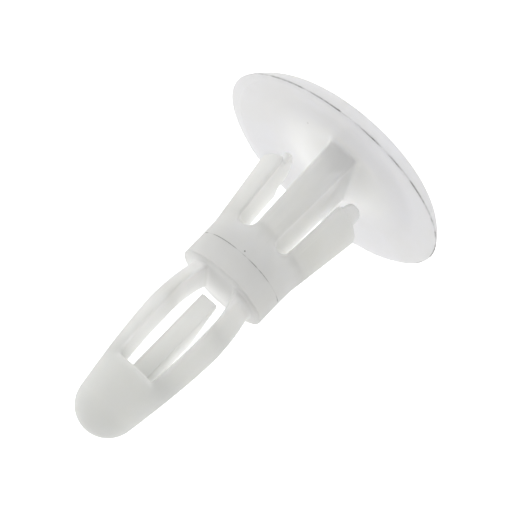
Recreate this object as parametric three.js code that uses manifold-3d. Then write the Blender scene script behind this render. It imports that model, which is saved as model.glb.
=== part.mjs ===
// Snap-in panel support: one nylon moulding with a shallow umbrella head, two snap wings, a collar
// with a board seat, and a springy looped bulb that ends in a rounded nose.
// Millimetres. +Z runs from the crown of the head to the tip of the nose, and the crown is at Z = 0.
// The wings and the legs spread along X. The loop of the bulb is open towards -Y and holds a
// free-ended finger on its +Y side.

import * as THREE from 'three';
import { mergeVertices } from 'three/addons/utils/BufferGeometryUtils.js';
import Module from 'manifold-3d';

const wasm = await Module();
wasm.setup();

// Head: a thin disc, flat on its crown, curling up to a thin lip, and dished underneath.
const HEAD_RADIUS = 6.83;
const CROWN_FLAT_RADIUS = 4.4;
const CROWN_CURL_RADIUS = 3.6;
const CROWN_CURL_POWER = 4.5;
const RIM_EDGE_Z = 1.25;
const RIM_LIP_Z = 1.32;
const RIM_LAND_WIDTH = 0.34;
const DISH_RADIUS = 5.3;
const DISH_FLOOR_Z = 1.02;

// Trunk: the web, the sleeve and the collar stand on one slim cone.
const TRUNK_RADIUS_AT_HEAD = 2.8;
const TRUNK_RADIUS_AT_SLOTS = 2.66;
const SLEEVE_RADIUS = 2.6;
const WEB_HALF_AT_HEAD = 0.86;
const WEB_HALF_AT_SLOTS = 0.7;
const COLLAR_Z = 8.67;
const SHOULDER_Z = 10;
const SHOULDER_CHAMFER = 0.04;
const SEAT_INNER_RADIUS = 2.29;

// Wings: flat inside, conical outside, with a thinner tooth on the end of each.
const WING_ROOT_Z = 6.88;
const WING_END_Z = 3.38;
const WING_END_RADIUS = 3.25;
const WING_FLARE_Z = 7.65;
const WING_INNER_AT_ROOT = 1.53;
const WING_INNER_AT_END = 1.8;
const TOOTH_TIP_Z = 2.28;
const TOOTH_RADIUS = 2.63;
const TOOTH_HALF_WIDTH = 1.75;

// Bulb: two bowed legs between the shoulder and the nose, and the finger between them.
const NECK_RADIUS = 1.95;
const BELLY_RADIUS = 2.28;
const BELLY_Z = 12.34;
const NOSE_BASE_Z = 16.26;
const NOSE_RADIUS = 1.65;
const NOSE_CENTRE_Z = 18.15;
const NOSE_TAPER_DEG = 9;
const LEG_INNER_AT_SHOULDER = 0.97;
const LEG_INNER_AT_BELLY = 1.3;
const LEG_INNER_AT_NOSE = 1.05;
const FINGER_HALF_WIDTH = 0.5;
const FINGER_FACE_Y = 0.2;
const FINGER_END_Z = 10.76;
const FINGER_ROUND_Z = 11.06;

// Room that the bending members need where they meet their neighbours.
const HINGE_GAP = 0.03;
const LEG_ROOT_RELIEF = 0.16;
const LEG_TOP_GAP = 0.08;
const LEG_TOP_RELIEF = 0.09;

// Facets.
const HEAD_SEGMENTS = 72;
const TRUNK_SEGMENTS = 48;
const SLOT_SEGMENTS = 24;
const CURL_STEPS = 7;
const CURVE_STEPS = 12;
const LEG_STEPS = 6;
const REACH = 8;

function toSolid(geometry) {
  geometry.deleteAttribute('normal');
  geometry.deleteAttribute('uv');
  const merged = mergeVertices(geometry, 1e-5);
  const vertProperties = merged.attributes.position.array;
  const triVerts = Uint32Array.from(merged.index.array);
  return new wasm.Manifold(new wasm.Mesh({ numProp: 3, vertProperties, triVerts }));
}

function toGeometry(solid) {
  const { vertProperties, triVerts } = solid.getMesh();
  const geometry = new THREE.BufferGeometry();
  geometry.setAttribute('position', new THREE.BufferAttribute(vertProperties, 3));
  geometry.setIndex(new THREE.BufferAttribute(triVerts, 1));
  geometry.computeVertexNormals();
  return geometry;
}

// A body of revolution about Z. The profile holds [radius, z] pairs, from the axis to the axis.
function turned(profile, segments) {
  const points = profile.map(([radius, z]) => new THREE.Vector2(radius, z));
  return toSolid(new THREE.LatheGeometry(points, segments).rotateX(Math.PI / 2));
}

// An outline in the XY plane, made solid from -halfDepth to halfDepth along Z.
function extruded(outline, halfDepth) {
  const shape = new THREE.Shape(outline.map(([a, b]) => new THREE.Vector2(a, b)));
  const geometry = new THREE.ExtrudeGeometry(shape, { depth: 2 * halfDepth, bevelEnabled: false });
  return geometry.translate(0, 0, -halfDepth);
}

// A prism through the part along Y, from an outline of [x, z] pairs.
function prismAlongY(outline) {
  const geometry = extruded(outline, REACH);
  return toSolid(geometry.rotateX(Math.PI / 2));
}

// A prism along X between -halfWidth and halfWidth, from an outline of [y, z] pairs.
function prismAlongX(outline, halfWidth) {
  const geometry = extruded(outline, halfWidth);
  const turn = new THREE.Matrix4().makeBasis(
    new THREE.Vector3(0, 1, 0),
    new THREE.Vector3(0, 0, 1),
    new THREE.Vector3(1, 0, 0),
  );
  return toSolid(geometry.applyMatrix4(turn));
}

function slabBetween(lowZ, highZ) {
  const box = new THREE.BoxGeometry(2 * REACH, 2 * REACH, highZ - lowZ);
  return toSolid(box.translate(0, 0, (lowZ + highZ) / 2));
}

// The same solid on the -X side: a half turn about Z, which also keeps its faces pointing out.
function halfTurn(solid) {
  return solid.rotate([0, 0, 180]);
}

function blend(a, b, t) {
  return a + (b - a) * t;
}

// Solids of revolution that the members are cut from.

function headBlank() {
  const curl = Array.from({ length: CURL_STEPS }, (_, i) => {
    const radius = blend(CROWN_FLAT_RADIUS, HEAD_RADIUS, (i + 1) / CURL_STEPS);
    const share = (radius - CROWN_CURL_RADIUS) / (HEAD_RADIUS - CROWN_CURL_RADIUS);
    return [radius, RIM_EDGE_Z * share ** CROWN_CURL_POWER];
  });
  return turned([
    [0, 0],
    [CROWN_FLAT_RADIUS, 0],
    ...curl,
    [HEAD_RADIUS - (RIM_LIP_Z - RIM_EDGE_Z) / 2, RIM_LIP_Z],
    [HEAD_RADIUS - RIM_LAND_WIDTH, RIM_LIP_Z],
    [DISH_RADIUS, DISH_FLOOR_Z],
    [0, DISH_FLOOR_Z],
  ], HEAD_SEGMENTS);
}

function trunkBlank() {
  return turned([
    [0, DISH_FLOOR_Z],
    [TRUNK_RADIUS_AT_HEAD, DISH_FLOOR_Z],
    [TRUNK_RADIUS_AT_SLOTS, WING_ROOT_Z],
    [SLEEVE_RADIUS, COLLAR_Z],
    [0, COLLAR_Z],
  ], TRUNK_SEGMENTS);
}

function wingBlank() {
  return turned([
    [0, WING_END_Z],
    [WING_END_RADIUS, WING_END_Z],
    [blend(SLEEVE_RADIUS, TRUNK_RADIUS_AT_SLOTS, 0.5), WING_FLARE_Z],
    [SLEEVE_RADIUS, COLLAR_Z],
    [0, COLLAR_Z],
  ], TRUNK_SEGMENTS);
}

function bulbBlank() {
  const flank = new THREE.SplineCurve([
    new THREE.Vector2(NECK_RADIUS, SHOULDER_Z),
    new THREE.Vector2(blend(NECK_RADIUS, BELLY_RADIUS, 0.5), SHOULDER_Z + 0.9),
    new THREE.Vector2(BELLY_RADIUS, BELLY_Z),
    new THREE.Vector2(blend(NECK_RADIUS, BELLY_RADIUS, 0.6), BELLY_Z + 2.36),
    new THREE.Vector2(NECK_RADIUS, NOSE_BASE_Z),
    ...nosePoints().slice(0, 1),
  ]);
  const outline = flank.getPoints(CURVE_STEPS).slice(0, -1).concat(nosePoints());
  const profile = outline.map((point) => [point.x, point.y]);
  return turned([[0, SHOULDER_Z], ...profile, [0, NOSE_CENTRE_Z + NOSE_RADIUS]], TRUNK_SEGMENTS);
}

// The round end, from where the taper runs into it to just short of the tip.
function nosePoints() {
  const steps = 7;
  const first = THREE.MathUtils.degToRad(NOSE_TAPER_DEG);
  return Array.from({ length: steps }, (_, i) => {
    const angle = blend(first, Math.PI / 2, i / steps);
    return new THREE.Vector2(
      NOSE_RADIUS * Math.cos(angle),
      NOSE_CENTRE_Z + NOSE_RADIUS * Math.sin(angle),
    );
  });
}

// Members of the moulding.

function stemWeb() {
  const side = prismAlongY([
    [-WEB_HALF_AT_HEAD, DISH_FLOOR_Z],
    [WEB_HALF_AT_HEAD, DISH_FLOOR_Z],
    [WEB_HALF_AT_SLOTS, WING_ROOT_Z],
    [-WEB_HALF_AT_SLOTS, WING_ROOT_Z],
  ]);
  return trunkBlank().intersect(side);
}

// The sleeve closes the two slots with round ends.
function slottedSleeve() {
  const middle = (WEB_HALF_AT_SLOTS + WING_INNER_AT_ROOT) / 2;
  const radius = (WING_INNER_AT_ROOT - WEB_HALF_AT_SLOTS) / 2;
  const round = new THREE.CylinderGeometry(radius, radius, 2 * REACH, SLOT_SEGMENTS);
  const slotEnd = toSolid(round.translate(middle, 0, WING_ROOT_Z));
  const flared = wingBlank().intersect(prismAlongY([
    [middle, WING_ROOT_Z],
    [REACH, WING_ROOT_Z],
    [REACH, COLLAR_Z],
    [middle, COLLAR_Z],
  ]));
  const ring = trunkBlank().intersect(slabBetween(WING_ROOT_Z, COLLAR_Z));
  return ring.add(flared).add(halfTurn(flared)).subtract(slotEnd).subtract(halfTurn(slotEnd));
}

// The board rests on the ring around the legs. Inside it the shoulder is a hinge gap lower, which
// leaves the roots of the legs free to turn.
function collar() {
  return turned([
    [0, COLLAR_Z],
    [SLEEVE_RADIUS, COLLAR_Z],
    [SLEEVE_RADIUS, SHOULDER_Z - SHOULDER_CHAMFER],
    [SLEEVE_RADIUS - SHOULDER_CHAMFER, SHOULDER_Z],
    [SEAT_INNER_RADIUS, SHOULDER_Z],
    [SEAT_INNER_RADIUS, SHOULDER_Z - HINGE_GAP],
    [0, SHOULDER_Z - HINGE_GAP],
  ], TRUNK_SEGMENTS);
}

function nose() {
  return bulbBlank().intersect(slabBetween(NOSE_BASE_Z, NOSE_BASE_Z + REACH));
}

function wing() {
  const rootZ = WING_ROOT_Z - HINGE_GAP;
  return wingBlank().intersect(prismAlongY([
    [WING_INNER_AT_END, WING_END_Z],
    [REACH, WING_END_Z],
    [REACH, rootZ],
    [WING_INNER_AT_ROOT, rootZ],
  ]));
}

// The tooth carries the wing's flat inner face on, and its end is a half ellipse across the wing.
function wingTooth() {
  const lean = (WING_INNER_AT_END - WING_INNER_AT_ROOT) / (WING_ROOT_Z - WING_END_Z);
  const height = WING_END_Z - TOOTH_TIP_Z;
  const side = prismAlongY([
    [WING_INNER_AT_END + lean * height, TOOTH_TIP_Z],
    [REACH, TOOTH_TIP_Z],
    [REACH, WING_END_Z],
    [WING_INNER_AT_END, WING_END_Z],
  ]);
  const arch = new THREE.EllipseCurve(0, WING_END_Z, TOOTH_HALF_WIDTH, height, Math.PI, 2 * Math.PI);
  const archOutline = arch.getPoints(2 * CURVE_STEPS).map((point) => [point.x, point.y]);
  const round = new THREE.CylinderGeometry(TOOTH_RADIUS, TOOTH_RADIUS, height, TRUNK_SEGMENTS);
  round.rotateX(Math.PI / 2).translate(0, 0, (WING_END_Z + TOOTH_TIP_Z) / 2);
  return toSolid(round).intersect(prismAlongX(archOutline, REACH)).intersect(side);
}

// A leg bends at its two ends and at the belly, so it is two halves: the lower one turns about the
// outer corner of its root, and the upper one about the outer corner of the belly. The root face and
// the top face fall away inwards. The inner face bows with the outside.
function legHalf(endZ, endRelief, endInnerX, bellyZ) {
  const outline = [[REACH, bellyZ], [REACH, endZ], [NECK_RADIUS, endZ]];
  for (let i = 0; i <= LEG_STEPS; i += 1) {
    const t = i / LEG_STEPS;
    const innerX = blend(LEG_INNER_AT_BELLY, endInnerX, (1 - t) ** 2);
    outline.push([innerX, blend(endZ + endRelief, bellyZ, t)]);
  }
  return bulbBlank().intersect(prismAlongY(endZ > bellyZ ? outline : outline.reverse()));
}

function legLower() {
  return legHalf(SHOULDER_Z, LEG_ROOT_RELIEF, LEG_INNER_AT_SHOULDER, BELLY_Z - HINGE_GAP / 2);
}

function legUpper() {
  return legHalf(NOSE_BASE_Z - LEG_TOP_GAP, -LEG_TOP_RELIEF, LEG_INNER_AT_NOSE, BELLY_Z + HINGE_GAP / 2);
}

// The finger is flat towards the open side, slopes back from its free end to the outline of the bulb,
// and grows out of the nose.
function finger() {
  const rootZ = NOSE_BASE_Z - HINGE_GAP;
  const back = new THREE.QuadraticBezierCurve(
    new THREE.Vector2(FINGER_FACE_Y + 0.28, FINGER_ROUND_Z),
    new THREE.Vector2(FINGER_FACE_Y + 1.2, blend(FINGER_ROUND_Z, BELLY_Z, 0.55)),
    new THREE.Vector2(BELLY_RADIUS + 0.1, BELLY_Z + 1.1),
  );
  return bulbBlank().intersect(prismAlongX([
    [FINGER_FACE_Y, FINGER_END_Z],
    [FINGER_FACE_Y + 0.12, FINGER_END_Z],
    ...back.getPoints(8).map((point) => [point.x, point.y]),
    [REACH, rootZ],
    [FINGER_FACE_Y, rootZ],
  ], FINGER_HALF_WIDTH));
}

// Scene graph.

const nylon = { color: 0xeeeeea, roughness: 0.45, metalness: 0 };
const group = new THREE.Group();

function addMember(name, solid) {
  const mesh = new THREE.Mesh(toGeometry(solid), new THREE.MeshStandardMaterial(nylon));
  mesh.name = name;
  group.add(mesh);
}

function addPair(name, solid) {
  addMember(`${name}_right`, solid);
  addMember(`${name}_left`, halfTurn(solid));
}

addMember('head_disc', headBlank());
addMember('stem_web', stemWeb());
addMember('slotted_sleeve', slottedSleeve());
addMember('collar', collar());
addMember('nose', nose());
addPair('wing', wing());
addPair('wing_tooth', wingTooth());
addPair('leg_lower', legLower());
addPair('leg_upper', legUpper());
addMember('finger', finger());

export default group;
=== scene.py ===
"""Looks for the snap-in panel support: one milky nylon moulding.

The moulding is described by a signed distance field in millimetres, meshed once as a whole, and cut
into the pieces that ride on the CAD bodies, so that neighbours share their edges and their normals.
"""

import math

import bmesh
import bpy
import numpy as np
from mathutils import Matrix, Vector


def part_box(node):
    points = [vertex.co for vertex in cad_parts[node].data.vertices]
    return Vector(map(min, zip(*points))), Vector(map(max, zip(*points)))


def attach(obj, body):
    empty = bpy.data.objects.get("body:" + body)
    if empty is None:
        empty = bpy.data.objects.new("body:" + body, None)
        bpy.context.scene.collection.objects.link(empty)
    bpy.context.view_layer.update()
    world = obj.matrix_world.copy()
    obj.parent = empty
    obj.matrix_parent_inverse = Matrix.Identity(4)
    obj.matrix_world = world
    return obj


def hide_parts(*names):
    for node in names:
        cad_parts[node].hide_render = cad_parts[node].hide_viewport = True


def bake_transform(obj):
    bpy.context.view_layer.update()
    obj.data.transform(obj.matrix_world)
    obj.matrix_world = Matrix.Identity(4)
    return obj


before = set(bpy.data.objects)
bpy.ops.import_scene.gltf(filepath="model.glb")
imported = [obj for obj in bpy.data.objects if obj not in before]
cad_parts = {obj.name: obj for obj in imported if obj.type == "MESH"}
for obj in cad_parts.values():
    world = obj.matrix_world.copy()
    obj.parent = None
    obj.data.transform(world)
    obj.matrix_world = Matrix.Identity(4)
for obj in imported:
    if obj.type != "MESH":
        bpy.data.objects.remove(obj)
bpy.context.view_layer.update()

MM = 0.001


# ---------------------------------------------------------------- sizes, from the frame, in mm

def box_mm(node):
    low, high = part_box(node)
    return np.array(low) / MM, np.array(high) / MM


head_high = box_mm("head_disc")[1]
web_low, web_high = box_mm("stem_web")
sleeve_low = box_mm("slotted_sleeve")[0]
collar_low, collar_high = box_mm("collar")
wing_low, wing_high = box_mm("wing_right")
tooth_low, tooth_high = box_mm("wing_tooth_right")
lower_low, lower_high = box_mm("leg_lower_right")
upper_low, upper_high = box_mm("leg_upper_right")
nose_low, nose_high = box_mm("nose")
finger_low, finger_high = box_mm("finger")

HEAD_R = head_high[0]
LIP_Z = head_high[2]
FLOOR_Z = web_low[2]
ROOT_Z = sleeve_low[2]
PARTING_Z = collar_low[2]
SHOULDER_Z = collar_high[2]
COLLAR_R = collar_high[0]
WEB_R_HEAD = web_high[1]
WEB_HALF_HEAD = web_high[0]
WEB_HALF_ROOT = 0.70
SLOT_R = 2.66
WING_END_Z = wing_low[2]
WING_END_R = wing_high[0]
WING_INNER_ROOT = wing_low[0]
WING_INNER_END = tooth_low[0]
TOOTH_TIP_Z = tooth_low[2]
TOOTH_R = tooth_high[0]
TOOTH_HALF = tooth_high[1]
FLARE_Z = 7.65
BELLY_Z = (lower_high[2] + upper_low[2]) / 2
BELLY_R = upper_high[0]
NECK_R = 1.95
LEG_INNER = 1.30
LEG_INNER_SHOULDER = lower_low[0]
LEG_INNER_NOSE = upper_low[0]
NOSE_Z = nose_low[2]
TIP_Z = nose_high[2]
NOSE_R = 1.65
FINGER_Y = finger_low[1]
FINGER_END_Z = finger_low[2]
FINGER_HALF = finger_high[0]

CROWN_START_R = 3.2
CROWN_CURL_POWER = 4.5
CROWN_LIP_THICKNESS = 0.04
TOOTH_POWER = 2.6
NOSE_TAPER = math.radians(9)

# Small departures of the real moulding from the round and level CAD shape.
HEAD_LEAN = 0.036
HEAD_LIFT = 0.09
HEAD_OFFSET = 0.15
WEB_OFFSET = -0.08
WING_OFFSET = 0.03
TOOTH_EXTRA = 0.08
TOOTH_TRIM = 0.08
THICK_LEG = 0.08
FINGER_OFFSET = 0.06
FINGER_DRAFT = 0.06

# ---------------------------------------------------------------- the moulding as a distance field

def smooth_max(a, b, k):
    h = np.clip(0.5 + 0.5 * (a - b) / k, 0, 1)
    return b + (a - b) * h + k * h * (1 - h)


def smooth_min(a, b, k):
    return -smooth_max(-a, -b, k)


def ramp(v, low, high):
    return np.clip((v - low) / (high - low), 0, 1)


def smooth_ramp(v, low, high):
    t = ramp(v, low, high)
    return t * t * (3 - 2 * t)


def between(v, low, high, a, b):
    """a at v = low, b at v = high, straight on past both."""
    return a + (b - a) * (v - low) / (high - low)


def head_frame(x, y, z):
    """Radius and height in the head, which warps a little towards the nose on its +X side."""
    r = np.hypot(x, y)
    level = z - HEAD_LEAN * x * smooth_ramp(r, 3.6, 6.6)
    return np.hypot(x - HEAD_OFFSET * smooth_ramp(r, 3.0, 6.5), y), level


def head_field(x, y, z):
    r, level = head_frame(x, y, z)
    lip = LIP_Z + HEAD_LIFT
    share = ramp(r, CROWN_START_R, HEAD_R)
    rise = lip - CROWN_LIP_THICKNESS
    crown = rise * share ** CROWN_CURL_POWER
    slope = CROWN_CURL_POWER * rise / (HEAD_R - CROWN_START_R) * share ** (CROWN_CURL_POWER - 1)
    dish = FLOOR_Z + (lip - FLOOR_Z) * smooth_ramp(r, 4.7, HEAD_R - 0.15)
    return smooth_max((crown - level) / np.sqrt(1 + slope ** 2), level - dish, 0.07)


WING_LEAN = (WING_INNER_END - WING_INNER_ROOT) / (ROOT_Z - WING_END_Z)
WEB_LEAN = (WEB_HALF_HEAD - WEB_HALF_ROOT) / (ROOT_Z - FLOOR_Z)


def slot_faces(x, z):
    """Where the web and the wing face each other on this side, counted outwards."""
    down = np.maximum(ROOT_Z - z, 0)
    inner = WEB_HALF_ROOT + WEB_LEAN * down + np.sign(x) * WEB_OFFSET
    outer = WING_INNER_ROOT + WING_LEAN * down + np.sign(x) * WING_OFFSET
    return inner, outer


def slot_field(side, z, inner, outer):
    """The gap between the web and a wing, round at its end in the sleeve."""
    return np.hypot(side - (inner + outer) / 2, np.maximum(z - ROOT_Z, 0)) - (outer - inner) / 2


def tooth_field(x, y, z, r):
    """The tooth ends in a full, rounded arch, a little longer at -X and thinner at +X."""
    height = WING_END_Z - TOOTH_TIP_Z - TOOTH_EXTRA * np.sign(x)
    across = np.abs(y / TOOTH_HALF) ** TOOTH_POWER
    along = np.abs((z - WING_END_Z) / height) ** TOOTH_POWER
    arch = (across + along + 1e-9) ** (1 / TOOTH_POWER) - 1
    tooth = smooth_max(r - TOOTH_R + TOOTH_TRIM * (x > 0), arch * 1.1, 0.2)
    return np.maximum(tooth, z - WING_END_Z - 0.5)


def trunk_field(x, y, z, r):
    """Web, sleeve and collar are one slim cone. Beyond the middle of each slot it flares into a wing."""
    side = np.abs(x)
    inner, outer = slot_faces(x, z)
    middle = (inner + outer) / 2
    slim = np.where(z < ROOT_Z, between(z, FLOOR_Z, ROOT_Z, WEB_R_HEAD, SLOT_R),
                    between(z, ROOT_Z, PARTING_Z, SLOT_R, COLLAR_R))
    slim = np.maximum(slim, COLLAR_R)
    flare = smooth_max(between(z, WING_END_Z, FLARE_Z, WING_END_R, (SLOT_R + COLLAR_R) / 2), slim, 0.03)
    radius = slim + (flare - slim) * smooth_ramp(side, middle - 0.3, middle + 0.3)
    body = smooth_max(smooth_max(r - radius, z - SHOULDER_Z, 0.07), 0.5 - z, 0.1)
    wing = smooth_max(body, WING_END_Z - z, 0.16)
    wing = smooth_min(wing, tooth_field(x, y, z, r), 0.2 + 0.3 * (x > 0))
    rounding = 0.2 + 0.12 * smooth_ramp(side, middle - 0.2, middle + 0.2)
    return smooth_max(np.where(side > middle, wing, body), -slot_field(side, z, inner, outer), rounding)


NOSE_CENTRE_Z = TIP_Z - NOSE_R
JOIN_Z = NOSE_CENTRE_Z + NOSE_R * math.sin(NOSE_TAPER)


def bulb_radius(z):
    """The outline of the legs and the nose below its round end."""
    low = between(z, SHOULDER_Z, BELLY_Z, NECK_R, BELLY_R)
    low = low + 0.05 * np.sin(np.pi * ramp(z, SHOULDER_Z, BELLY_Z))
    drop = (BELLY_R - NOSE_R * math.cos(NOSE_TAPER)) / (JOIN_Z - BELLY_Z) ** 1.5
    high = BELLY_R - drop * np.maximum(z - BELLY_Z, 0) ** 1.5
    return smooth_min(low, high + 0.02 * ramp(z, JOIN_Z, BELLY_Z), 0.12)


def finger_field(x, y, z, body):
    drop = z - FINGER_END_Z
    back = FINGER_Y + 0.22 + 2.3 * smooth_ramp(drop, -0.7, 3.3)
    half = FINGER_HALF + FINGER_DRAFT * (y - FINGER_Y)
    flat = smooth_max(np.abs(x - FINGER_OFFSET) - half, FINGER_Y - y, 0.06)
    finger = smooth_max(flat, -drop, 0.12)
    finger = smooth_max(finger, 0.8 * (y - back), 0.12)
    return np.maximum(smooth_max(finger, body, 0.08), z - NOSE_Z - 0.5)


def bulb_field(x, y, z, r):
    taper = r - bulb_radius(z)
    ball = np.sqrt(r * r + (z - NOSE_CENTRE_Z) ** 2) - NOSE_R
    body = np.maximum(np.where(z < JOIN_Z, taper, ball), SHOULDER_Z - 0.4 - z)
    below = (BELLY_Z - z) / (BELLY_Z - SHOULDER_Z)
    above = (z - BELLY_Z) / (NOSE_Z - BELLY_Z)
    reach = np.where(z < BELLY_Z, below, above)
    end = np.where(z < BELLY_Z, LEG_INNER_SHOULDER - 0.07, LEG_INNER_NOSE)
    inner = LEG_INNER - (LEG_INNER - end) * np.clip(reach, 0, 1.2) ** 2
    window = smooth_max(np.abs(x) - inner + THICK_LEG * (x < 0), z - NOSE_Z + 0.1, 0.16)
    legs = smooth_max(body, -window, 0.34)
    return smooth_min(legs, finger_field(x, y, z, body), 0.1)


def moulding(x, y, z):
    r = np.hypot(x, y)
    body = smooth_min(trunk_field(x, y, z, r), bulb_field(x, y, z, r), 0.2)
    return smooth_min(head_field(x, y, z), body, 0.3)


def gradient(points):
    step = 0.004
    columns = []
    for axis in range(3):
        shift = np.zeros(3)
        shift[axis] = step
        ahead = moulding(*(points + shift).T)
        behind = moulding(*(points - shift).T)
        columns.append((ahead - behind) / (2 * step))
    return np.stack(columns, axis=1)


def project(points, rounds):
    """Moves points onto the moulding's surface."""
    for _ in range(rounds):
        slope = gradient(points)
        value = moulding(*points.T)
        move = slope * (value / np.maximum((slope ** 2).sum(axis=1), 0.2))[:, None]
        points = points - np.clip(move, -0.05, 0.05)
    return points


# ---------------------------------------------------------------- meshing

CELL = 0.08


def sample_grid():
    """The field on a grid. Away from the head only the slim trunk is worked out."""
    low = np.array([-HEAD_R, -HEAD_R, 0.0]) - 4.5 * CELL
    high = np.array([HEAD_R, HEAD_R, TIP_Z]) + 4.5 * CELL
    axes = [np.arange(a, b, CELL) for a, b in zip(low, high)]
    field = np.full([len(a) for a in axes], 1.0, np.float32)
    slim = np.abs(axes[0]) < WING_END_R + 3 * CELL
    first, last = np.flatnonzero(slim)[[0, -1]]
    deep = int(np.searchsorted(axes[2], LIP_Z + 0.4))
    for rows, levels in (((0, len(axes[0])), (0, deep)), ((first, last + 1), (deep, len(axes[2])))):
        across, up = slice(*rows), slice(*levels)
        part = np.meshgrid(axes[0][across], axes[1][across], axes[2][up], indexing="ij")
        field[across, across, up] = moulding(*part)
    return field, low


def surface_nets(field, low):
    """One vertex in each cell that the surface crosses, and one quad for each grid edge that it cuts."""
    inside = field < 0
    size = np.array(field.shape) - 1
    corners = [(i, j, k) for i in (0, 1) for j in (0, 1) for k in (0, 1)]

    def corner(array, c):
        return array[c[0]:c[0] + size[0], c[1]:c[1] + size[1], c[2]:c[2] + size[2]]

    count = sum(corner(inside, c).astype(np.int8) for c in corners)
    active = (count > 0) & (count < 8)
    cells = np.argwhere(active)
    number = np.full(size, -1, np.int64)
    number[active] = np.arange(len(cells))
    total, hits = np.zeros((len(cells), 3)), np.zeros(len(cells))
    for a in corners:
        for axis in range(3):
            if a[axis]:
                continue
            b = list(a)
            b[axis] = 1
            va = corner(field, a)[active].astype(float)
            vb = corner(field, b)[active].astype(float)
            cut = (va < 0) != (vb < 0)
            t = np.where(cut, va / np.where(cut, va - vb, 1), 0)
            at = np.tile(np.array(a, float), (len(cells), 1))
            at[:, axis] += t
            total += at * cut[:, None]
            hits += cut
    verts = low + (cells + total / hits[:, None]) * CELL
    quads = []
    for axis in range(3):
        u, v = (axis + 1) % 3, (axis + 2) % 3
        lower = np.moveaxis(inside, axis, 0)[:-1]
        upper = np.moveaxis(inside, axis, 0)[1:]
        change = np.moveaxis(lower != upper, 0, axis)
        edges = np.argwhere(change)
        edges = edges[(edges[:, u] > 0) & (edges[:, v] > 0)]
        starts = inside[tuple(edges.T)]
        ring = []
        for du, dv in ((1, 1), (0, 1), (0, 0), (1, 0)):
            cell = edges.copy()
            cell[:, u] -= du
            cell[:, v] -= dv
            ring.append(number[tuple(cell.T)])
        ring = np.stack(ring, axis=1)
        ring[~starts] = ring[~starts][:, ::-1]
        quads.append(ring)
    return verts, np.concatenate(quads)


def mesh_from(name, points, faces):
    mesh = bpy.data.meshes.new(name)
    mesh.from_pydata(points.tolist(), [], faces.tolist())
    mesh.update()
    return mesh


def thinned(mesh, share):
    """The mesh with fewer triangles where the surface is flat."""
    holder = bpy.data.objects.new("holder", mesh)
    bpy.context.scene.collection.objects.link(holder)
    modifier = holder.modifiers.new("thin", "DECIMATE")
    modifier.ratio = share
    bpy.context.view_layer.update()
    made = bpy.data.meshes.new_from_object(holder.evaluated_get(bpy.context.evaluated_depsgraph_get()))
    bpy.data.objects.remove(holder)
    return made


def coordinates(mesh):
    co = np.empty(len(mesh.vertices) * 3)
    mesh.vertices.foreach_get("co", co)
    return co.reshape(-1, 3)


def whole_skin():
    points, quads = surface_nets(*sample_grid())
    mesh = thinned(mesh_from("skin", project(points, 4), quads), 0.3)
    points = project(coordinates(mesh), 3)
    mesh.vertices.foreach_set("co", points.ravel())
    mesh.update()
    return mesh


# ---------------------------------------------------------------- cutting the skin into pieces

def cut_level(bm, z, keep_above):
    """Cuts the mesh at a level, drops one side, and closes the other."""
    geometry = bm.verts[:] + bm.edges[:] + bm.faces[:]
    cut = bmesh.ops.bisect_plane(
        bm, geom=geometry, dist=1e-6, plane_co=(0, 0, z), plane_no=(0, 0, 1),
        clear_inner=keep_above, clear_outer=not keep_above,
    )
    rim = [e for e in cut["geom_cut"] if isinstance(e, bmesh.types.BMEdge)]
    bmesh.ops.triangle_fill(bm, edges=rim, use_beauty=True, use_dissolve=False,
                            normal=(0, 0, -1 if keep_above else 1))


def islands(bm):
    seen, found = set(), []
    for start in bm.verts:
        if start in seen:
            continue
        seen.add(start)
        stack, island = [start], []
        while stack:
            vert = stack.pop()
            island.append(vert)
            for edge in vert.link_edges:
                other = edge.other_vert(vert)
                if other not in seen:
                    seen.add(other)
                    stack.append(other)
        found.append(island)
    return found


def keep_island(bm, wanted):
    """Drops every island whose middle isn't wanted."""
    for island in islands(bm):
        middle = sum((v.co for v in island), Vector()) / len(island)
        if not wanted(middle):
            bmesh.ops.delete(bm, geom=island, context="VERTS")


def set_normals(mesh, levels):
    """Normals from the field, so that neighbours match where they meet, and flat ones on the cuts."""
    points = coordinates(mesh)
    slope = gradient(points)
    slope /= np.maximum(np.linalg.norm(slope, axis=1), 1e-9)[:, None]
    corners = np.empty(len(mesh.loops), np.int32)
    mesh.loops.foreach_get("vertex_index", corners)
    normals = slope[corners]
    for polygon in mesh.polygons:
        flat = abs(polygon.normal.z) > 0.9999
        if flat and any(abs(polygon.center.z - z) < 1e-4 for z in levels):
            normals[polygon.loop_start:polygon.loop_start + polygon.loop_total] = polygon.normal
    mesh.shade_smooth()
    mesh.normals_split_custom_set(normals.tolist())


def set_softness(mesh, levels):
    """Light scatters less close to a cut, because it can't cross from one piece into the next."""
    points = coordinates(mesh)
    near = np.full(len(points), 10.0)
    for z in levels:
        near = np.minimum(near, np.abs(points[:, 2] - z))
    layer = mesh.attributes.new("softness", "FLOAT", "POINT")
    layer.data.foreach_set("value", smooth_ramp(near, 0.05, 0.9).astype(np.float32))


def set_vectors(mesh, name, *columns):
    """Stores three values for each point, for the material."""
    layer = mesh.attributes.new(name, "FLOAT_VECTOR", "POINT")
    layer.data.foreach_set("vector", np.stack(columns, axis=1).astype(np.float32).ravel())


def set_rim(mesh):
    """How far each point is from the lip's edge, outwards and upwards, for the mould line there."""
    x, y, z = coordinates(mesh).T
    r, level = head_frame(x, y, z)
    outward = r - (HEAD_R - 0.02)
    upward = level - (LIP_Z + HEAD_LIFT)
    set_vectors(mesh, "rim", outward, upward, np.zeros(len(r)))


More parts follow.
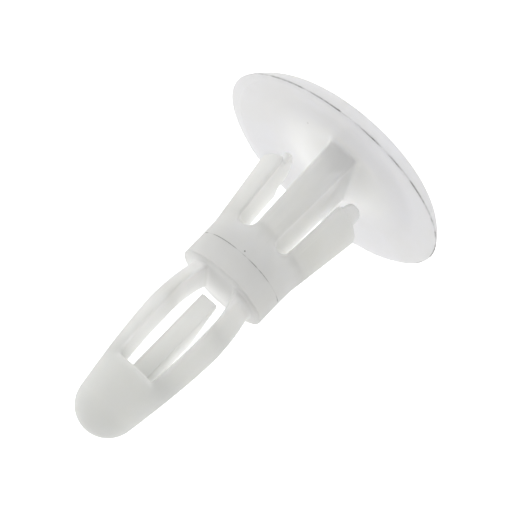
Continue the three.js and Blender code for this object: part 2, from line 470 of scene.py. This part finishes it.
def window_share(x, z):
    """1 inside the window between the legs, fading out at its ends and behind the legs' inner faces."""
    between_legs = 1 - smooth_ramp(np.abs(x), LEG_INNER - 0.1, LEG_INNER + 0.1)
    past_shoulder = smooth_ramp(z, SHOULDER_Z, SHOULDER_Z + 0.3)
    return past_shoulder * between_legs * (1 - smooth_ramp(z, NOSE_Z - 0.8, NOSE_Z + 0.4))


def slot_wall_share(x, z, r, normal):
    """1 on the faces inside the two slots, below the head."""
    inner, outer = slot_faces(x, z)
    slot = 1 - smooth_ramp(np.abs(slot_field(np.abs(x), z, inner, outer)), 0.03, 0.2)
    wall = slot * smooth_ramp(normal[:, 0] + normal[:, 2], 0.5, 0.9) * (z < ROOT_Z + 0.6)
    return wall * smooth_ramp(z, 1.5, 2.1) * (r < WING_END_R + 0.15)


def set_painted_light_and_shade(mesh):
    """Painted light: sheltered faces are painted lighter, as light reaches them through nylon. Painted
    shade: solid, deep places are painted greyer.

    The first vector attribute holds the painted light share and the painted shade share. The second holds
    how dense the nylon looks and the painted glow. The third value of each is unused.
    """
    points = coordinates(mesh)
    x, y, z = points.T
    r = np.hypot(x, y)
    normal = np.abs(gradient(points))
    wall = slot_wall_share(x, z, r, normal)
    window = window_share(x, z)
    shoulder = smooth_ramp(z, SHOULDER_Z - 0.15, SHOULDER_Z) * (1 - smooth_ramp(z, 10.1, 10.9))
    shoulder = shoulder * smooth_ramp(normal[:, 2], 0.3, 0.8) * (1 - 0.6 * smooth_ramp(r, 2.0, 2.4))
    sleeve = 0.5 * smooth_ramp(z, 6.2, 7.4) * (z < SHOULDER_Z + 0.3)
    # Painted light: the slot walls, the shoulder, the sleeve and the window between the legs are painted
    # lighter.
    pale = np.maximum.reduce([wall, shoulder, sleeve, window])

    # Painted shade: the nose, the trunk and the left leg are painted greyer.
    nose = smooth_ramp(z, 12.5, 15.5)
    shaded_left_leg = 0.75 * smooth_ramp(-x, 1.1, 1.6) * smooth_ramp(z, 10.6, 11.6)
    trunk = 0.6 * smooth_ramp(z, 2.6, 3.4) * (1 - smooth_ramp(z, 6.0, 7.4))
    painted_shade_share = np.maximum(nose, shaded_left_leg) * (1 - window * (x > 0))
    painted_shade_share = np.maximum(painted_shade_share, trunk * (1 - wall))

    leg_root = smooth_ramp(z, SHOULDER_Z, SHOULDER_Z + 0.05) * (1 - smooth_ramp(z, 10.3, 11.2))
    # Painted light: a glow painted in the slot walls, inside the window and in the crease where the legs
    # meet the collar.
    corner = smooth_ramp(z, SHOULDER_Z, SHOULDER_Z + 0.03) * (1 - smooth_ramp(z, 10.12, 10.4))
    inside = window * (0.2 + 0.3 * smooth_ramp(normal[:, 0], 0.6, 0.95))
    dense = np.maximum(0.7 * shoulder, leg_root)
    glow = np.maximum.reduce([wall, inside, 0.4 * corner])
    nothing = np.zeros(len(points))
    set_vectors(mesh, "painted_light_and_shade", pale, painted_shade_share, nothing)
    # How dense the nylon looks, and the painted glow.
    set_vectors(mesh, "density_and_painted_glow", dense, glow, nothing)


def make_piece(name, skin, low=None, high=None, wanted=None):
    bm = bmesh.new()
    bm.from_mesh(skin)
    if low is not None:
        cut_level(bm, low, True)
    if high is not None:
        cut_level(bm, high, False)
    if wanted is not None:
        keep_island(bm, wanted)
    bmesh.ops.recalc_face_normals(bm, faces=bm.faces[:])
    mesh = bpy.data.meshes.new(name)
    bm.to_mesh(mesh)
    bm.free()
    levels = [z for z in (low, high) if z is not None]
    set_normals(mesh, levels)
    set_softness(mesh, levels)
    set_rim(mesh)
    set_painted_light_and_shade(mesh)
    mesh.transform(Matrix.Scale(MM, 4))
    piece = bpy.data.objects.new(name, mesh)
    bpy.context.scene.collection.objects.link(piece)
    mesh.materials.append(nylon)
    return piece


# ---------------------------------------------------------------- material

class Nodes:
    """Short calls for the nodes of one material."""

    def __init__(self, material):
        material.use_nodes = True
        self.tree = material.node_tree
        self.output = self.tree.nodes["Material Output"]
        self.shader = self.tree.nodes["Principled BSDF"]

    def add(self, kind, links=None, **settings):
        node = self.tree.nodes.new(kind)
        for key, value in settings.items():
            setattr(node, key, value)
        for key, value in (links or {}).items():
            self.feed(node, key, value)
        return node

    def feed(self, node, key, value):
        if isinstance(value, bpy.types.NodeSocket):
            self.tree.links.new(value, node.inputs[key])
        else:
            node.inputs[key].default_value = value

    def math(self, operation, a, b=0.0):
        return self.add("ShaderNodeMath", {0: a, 1: b}, operation=operation).outputs[0]

    def noise(self, place, scale, detail, stretch=(1, 1, 1)):
        shifted = self.add("ShaderNodeMapping", {"Vector": place, "Scale": stretch})
        links = {"Vector": shifted.outputs[0], "Scale": scale, "Detail": detail}
        return self.add("ShaderNodeTexNoise", links).outputs["Fac"]

    def spread(self, value, low, high, at_low, at_high):
        links = {"Value": value, "From Min": low, "From Max": high, "To Min": at_low, "To Max": at_high}
        return self.add("ShaderNodeMapRange", links).outputs["Result"]

    def mix(self, factor, a, b):
        node = self.add("ShaderNodeMix", data_type="RGBA")
        self.feed(node, "Factor", factor)
        for socket, value in (("A", a), ("B", b)):
            target = next(i for i in node.inputs if i.name == socket and i.type == "RGBA")
            if isinstance(value, bpy.types.NodeSocket):
                self.tree.links.new(value, target)
            else:
                target.default_value = value
        return next(o for o in node.outputs if o.type == "RGBA")


MILKINESS = 0.5
DENSE_MILKINESS = 0.22
# Strength of the painted glow.
PAINTED_GLOW = 0.07
ROUGH_LOW, ROUGH_HIGH = 0.36, 0.52
BUMP_HEIGHT = 0.006
SCATTER = 1.0
COOL = (0.885, 0.885, 0.880, 1)
WARM = (0.855, 0.850, 0.815, 1)
# Colour of the painted light on sheltered faces.
PAINTED_LIGHT_WHITE = (0.985, 0.985, 0.975, 1)
# Tint of the painted light through the thin head.
PAINTED_LIGHT_LILAC = (0.87, 0.87, 0.90, 1)
# Colour of the painted shade.
PAINTED_SHADE_GREY = (0.80, 0.805, 0.79, 1)
DUST = (0.16, 0.15, 0.14, 1)
# Colour of the mould lines, partly painted shade of their ridge.
MOULD_LINE_AND_SHADE = (0.30, 0.30, 0.29, 1)


def nylon_material():
    """Milky nylon: cloudy colour, a faint moulded grain, mould lines at the collar and the lip that are
    partly painted shade, dust, and painted light, painted shade and a painted glow standing in for light
    through the nylon.
    """
    material = bpy.data.materials.new("natural_nylon")
    make = Nodes(material)
    metres = make.add("ShaderNodeTexCoord").outputs["Object"]
    place = make.add("ShaderNodeVectorMath", {0: metres, "Scale": 1 / MM}, operation="SCALE").outputs[0]

    clouds = make.spread(make.noise(place, 0.32, 3), 0.35, 0.65, 0, 1)
    flow = make.spread(make.noise(place, 1.6, 3, (1, 1, 0.35)), 0.3, 0.7, -0.22, 0.22)
    cloudy = make.add("ShaderNodeClamp", {"Value": make.math("ADD", clouds, flow)}).outputs[0]
    colour = make.mix(cloudy, COOL, WARM)

    height = make.add("ShaderNodeSeparateXYZ", {"Vector": place}).outputs["Z"]
    level = make.add("ShaderNodeVectorMath", {0: place, 1: (1, 1, 0)}, operation="MULTIPLY").outputs[0]
    radius = make.add("ShaderNodeVectorMath", {0: level}, operation="LENGTH").outputs["Value"]
    # Painted light: the top of the web under the head is painted lighter against the shade there; the same
    # mask makes the nylon look denser.
    painted_light_root = make.math("MULTIPLY", make.spread(height, 1.6, 5.5, 1, 0), make.spread(radius, 2.5, 4.4, 1, 0))
    # Painted light: a lilac tint on the outer head, standing in for light shining through thin nylon.
    thin = make.math("MULTIPLY", make.spread(height, 2.3, 2.6, 0.5, 0), make.spread(radius, 2.8, 3.8, 0, 1))

    painted_light_and_shade = make.add("ShaderNodeAttribute", attribute_name="painted_light_and_shade").outputs["Vector"]
    painted_light_and_shade = make.add("ShaderNodeSeparateXYZ", {"Vector": painted_light_and_shade})
    # Painted light: lighter colour on sheltered faces and on the top of the web.
    colour = make.mix(make.math("MAXIMUM", painted_light_and_shade.outputs["X"], painted_light_root), colour, PAINTED_LIGHT_WHITE)
    # Painted shade: greyer colour on the nose, the trunk and the left leg.
    colour = make.mix(make.math("MULTIPLY", painted_light_and_shade.outputs["Y"], 0.8), colour, PAINTED_SHADE_GREY)
    # Painted light: lilac tint on the outer head.
    colour = make.mix(thin, colour, PAINTED_LIGHT_LILAC)

    broken = make.spread(make.noise(place, 1.3, 2), 0.42, 0.56, 0.15, 1)
    from_parting = make.math("ABSOLUTE", make.math("SUBTRACT", height, PARTING_Z))
    parting = make.math("MULTIPLY", make.spread(from_parting, 0.006, 0.03, 0.8, 0), broken)
    rim = make.add("ShaderNodeAttribute", attribute_name="rim").outputs["Vector"]
    from_rim = make.add("ShaderNodeVectorMath", {0: rim}, operation="LENGTH").outputs["Value"]
    patchy = make.spread(make.noise(place, 0.8, 3), 0.44, 0.6, 0.0, 0.85)
    lip = make.math("MULTIPLY", make.spread(from_rim, 0.02, 0.07, 1, 0), patchy)
    # Mould lines at the collar and the lip: real lines, darkened partly as painted shade of their small
    # ridge.
    line = make.math("MAXIMUM", parting, lip)
    colour = make.mix(line, colour, MOULD_LINE_AND_SHADE)

    cells = make.add("ShaderNodeTexVoronoi", {"Vector": place, "Scale": 0.8})
    lot = make.add("ShaderNodeSeparateColor", {"Color": cells.outputs["Color"]}).outputs[0]
    chosen = make.math("GREATER_THAN", lot, 0.9)
    speck = make.math("MULTIPLY", make.spread(cells.outputs["Distance"], 0.02, 0.045, 0.7, 0), chosen)
    colour = make.mix(speck, colour, DUST)

    rough = make.spread(make.noise(place, 2.2, 4), 0.3, 0.7, ROUGH_LOW, ROUGH_HIGH)
    grain = make.noise(place, 9, 3)
    ripple = make.noise(place, 0.9, 2)
    relief = make.math("ADD", make.math("MULTIPLY", grain, 0.25), ripple)
    relief = make.math("SUBTRACT", relief, make.math("MULTIPLY", line, 0.6))
    bump = make.add("ShaderNodeBump", {"Height": relief, "Strength": 0.6, "Distance": BUMP_HEIGHT * MM})

    density_and_painted_glow = make.add("ShaderNodeAttribute", attribute_name="density_and_painted_glow").outputs["Vector"]
    density_and_painted_glow = make.add("ShaderNodeSeparateXYZ", {"Vector": density_and_painted_glow})
    shader = make.shader
    make.feed(shader, "Base Color", colour)
    # Painted light: the slot walls, the window and the crease at the legs glow faintly, standing in for
    # light scattered through the nylon.
    make.feed(shader, "Emission Color", (1, 1, 0.98, 1))
    make.feed(shader, "Emission Strength", make.math("MULTIPLY", density_and_painted_glow.outputs["Y"], PAINTED_GLOW))
    make.feed(shader, "Roughness", rough)
    make.feed(shader, "Normal", bump.outputs[0])
    make.feed(shader, "Subsurface Radius", (1.0, 0.97, 0.9))
    make.feed(shader, "Subsurface Scale", SCATTER * MM)
    soft = make.add("ShaderNodeAttribute", attribute_name="softness")
    make.feed(shader, "Subsurface Weight", soft.outputs["Fac"])
    glow = make.add("ShaderNodeBsdfTranslucent", {"Color": colour})
    share = make.spread(make.math("MAXIMUM", density_and_painted_glow.outputs["X"], painted_light_root), 0, 1, MILKINESS, DENSE_MILKINESS)
    milky = make.add("ShaderNodeMixShader", {"Fac": share, 1: shader.outputs[0], 2: glow.outputs[0]})
    make.feed(make.output, "Surface", milky.outputs[0])
    return material


# ---------------------------------------------------------------- camera, floor and light

TENT_BACK = 1.5
TENT_FRONT = 0.44
TENT_SIDE = 0.35
FLOOR_GLOW = 0.45
FLOOR_HALF = 2.0
CAMERA_DISTANCE = 68.3
CAMERA_TARGET_Z = 7.52
CAMERA_ROLL = 135.8


def make_camera():
    azimuth, elevation = math.radians(-10), math.radians(16.5)
    back = Vector((
        math.sin(azimuth) * math.cos(elevation),
        -math.cos(azimuth) * math.cos(elevation),
        math.sin(elevation),
    ))
    level_right = Vector((0, 0, 1)).cross(back).normalized()
    level_up = back.cross(level_right)
    roll = math.radians(CAMERA_ROLL)
    right = level_right * math.cos(roll) - level_up * math.sin(roll)
    up = level_right * math.sin(roll) + level_up * math.cos(roll)
    camera = bpy.data.objects.new("camera", bpy.data.cameras.new("camera"))
    bpy.context.scene.collection.objects.link(camera)
    turn = Matrix((right, up, back)).transposed().to_4x4()
    target = Vector((0, 0, CAMERA_TARGET_Z)) * MM
    camera.matrix_world = Matrix.Translation(target + back * CAMERA_DISTANCE * MM) @ turn
    camera.data.lens = 94.6
    camera.data.sensor_width = 36
    camera.data.shift_x, camera.data.shift_y = 0.0014, -0.0011
    camera.data.clip_start, camera.data.clip_end = 0.002, 10
    bpy.context.scene.camera = camera
    return right, up, back


def make_world(front):
    """A white light tent, dimmer on the photographer's side. The camera sees it as plain white."""
    world = bpy.data.worlds.new("studio")
    world.use_nodes = True
    nodes, links = world.node_tree.nodes, world.node_tree.links
    tent = nodes["Background"]
    tent.inputs["Color"].default_value = (1, 1, 1, 1)
    place = nodes.new("ShaderNodeTexCoord")
    facing = nodes.new("ShaderNodeVectorMath")
    facing.operation = "DOT_PRODUCT"
    facing.inputs[1].default_value = front.normalized()
    strength = nodes.new("ShaderNodeMapRange")
    strength.interpolation_type = "SMOOTHSTEP"
    strength.inputs["From Min"].default_value = -0.6
    strength.inputs["From Max"].default_value = 1.0
    strength.inputs["To Min"].default_value = TENT_BACK
    strength.inputs["To Max"].default_value = TENT_FRONT
    backdrop = nodes.new("ShaderNodeBackground")
    ray = nodes.new("ShaderNodeLightPath")
    mix = nodes.new("ShaderNodeMixShader")
    links.new(place.outputs["Generated"], facing.inputs[0])
    links.new(facing.outputs["Value"], strength.inputs["Value"])
    links.new(strength.outputs["Result"], tent.inputs["Strength"])
    links.new(ray.outputs["Is Camera Ray"], mix.inputs["Fac"])
    links.new(tent.outputs[0], mix.inputs[1])
    links.new(backdrop.outputs[0], mix.inputs[2])
    backdrop.inputs["Color"].default_value = (1, 1, 1, 1)
    links.new(mix.outputs[0], nodes["World Output"].inputs["Surface"])
    bpy.context.scene.world = world
    bpy.context.scene.view_settings.view_transform = "Standard"


def make_floor():
    """A pale floor, lit from below as a light table is, so that it is plain white to the camera."""
    mesh = bpy.data.meshes.new("floor")
    signs = ((-1, -1), (1, -1), (1, 1), (-1, 1))
    mesh.from_pydata([(a * FLOOR_HALF, b * FLOOR_HALF, 0) for a, b in signs], [], [(0, 1, 2, 3)])
    floor = bpy.data.objects.new("floor", mesh)
    floor.location.z = -0.05 * MM
    bpy.context.scene.collection.objects.link(floor)
    material = bpy.data.materials.new("floor")
    material.use_nodes = True
    nodes, links = material.node_tree.nodes, material.node_tree.links
    shader = nodes["Principled BSDF"]
    shader.inputs["Base Color"].default_value = (0.8, 0.8, 0.8, 1)
    shader.inputs["Roughness"].default_value = 0.9
    shader.inputs["Emission Color"].default_value = (1, 1, 1, 1)
    ray = nodes.new("ShaderNodeLightPath")
    glow = nodes.new("ShaderNodeMapRange")
    glow.inputs["To Min"].default_value = FLOOR_GLOW
    glow.inputs["To Max"].default_value = 0.9
    links.new(ray.outputs["Is Camera Ray"], glow.inputs["Value"])
    links.new(glow.outputs["Result"], shader.inputs["Emission Strength"])
    mesh.materials.append(material)


# ---------------------------------------------------------------- the pieces

nylon = nylon_material()
skin = whole_skin()
HEAD_CUT = LIP_Z + 0.25
LEG_CUT = SHOULDER_Z + 0.12
NOSE_CUT = NOSE_Z - 0.2

head = make_piece("umbrella_head", skin, high=HEAD_CUT)
web = make_piece("centre_web", skin, low=HEAD_CUT, high=ROOT_Z, wanted=lambda p: abs(p.x) < 0.8)
sleeve = make_piece("slot_sleeve", skin, low=ROOT_Z, high=PARTING_Z)
seat = make_piece("seat_collar", skin, low=PARTING_Z, high=LEG_CUT)
tip = make_piece("rounded_nose", skin, low=NOSE_CUT)
core_pieces = (
    (head, "head_disc"),
    (web, "stem_web"),
    (sleeve, "slotted_sleeve"),
    (seat, "collar"),
    (tip, "nose"),
)
for piece, node in core_pieces:
    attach(piece, "core")
    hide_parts(node)

for side, sign in (("right", 1), ("left", -1)):
    wing = make_piece(f"snap_wing_{side}", skin, high=ROOT_Z,
                      wanted=lambda p: p.x * sign > 1.2 and p.z > 2)
    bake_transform(wing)
    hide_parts(f"wing_{side}", f"wing_tooth_{side}")
    lower = make_piece(f"bowed_leg_lower_{side}", skin, low=LEG_CUT, high=BELLY_Z,
                       wanted=lambda p: p.x * sign > 0.8)
    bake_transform(lower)
    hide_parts(f"leg_lower_{side}")
    upper = make_piece(f"bowed_leg_upper_{side}", skin, low=BELLY_Z, high=NOSE_CUT,
                       wanted=lambda p: p.x * sign > 0.8)
    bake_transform(upper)
    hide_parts(f"leg_upper_{side}")

tongue = make_piece("inner_finger", skin, low=LEG_CUT, high=NOSE_CUT, wanted=lambda p: abs(p.x) < 0.4)
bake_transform(tongue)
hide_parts("finger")

bpy.data.meshes.remove(skin)
camera_right, camera_up, camera_back = make_camera()
make_world(camera_back + TENT_SIDE * (0.72 * camera_right - 0.7 * camera_up))
make_floor()
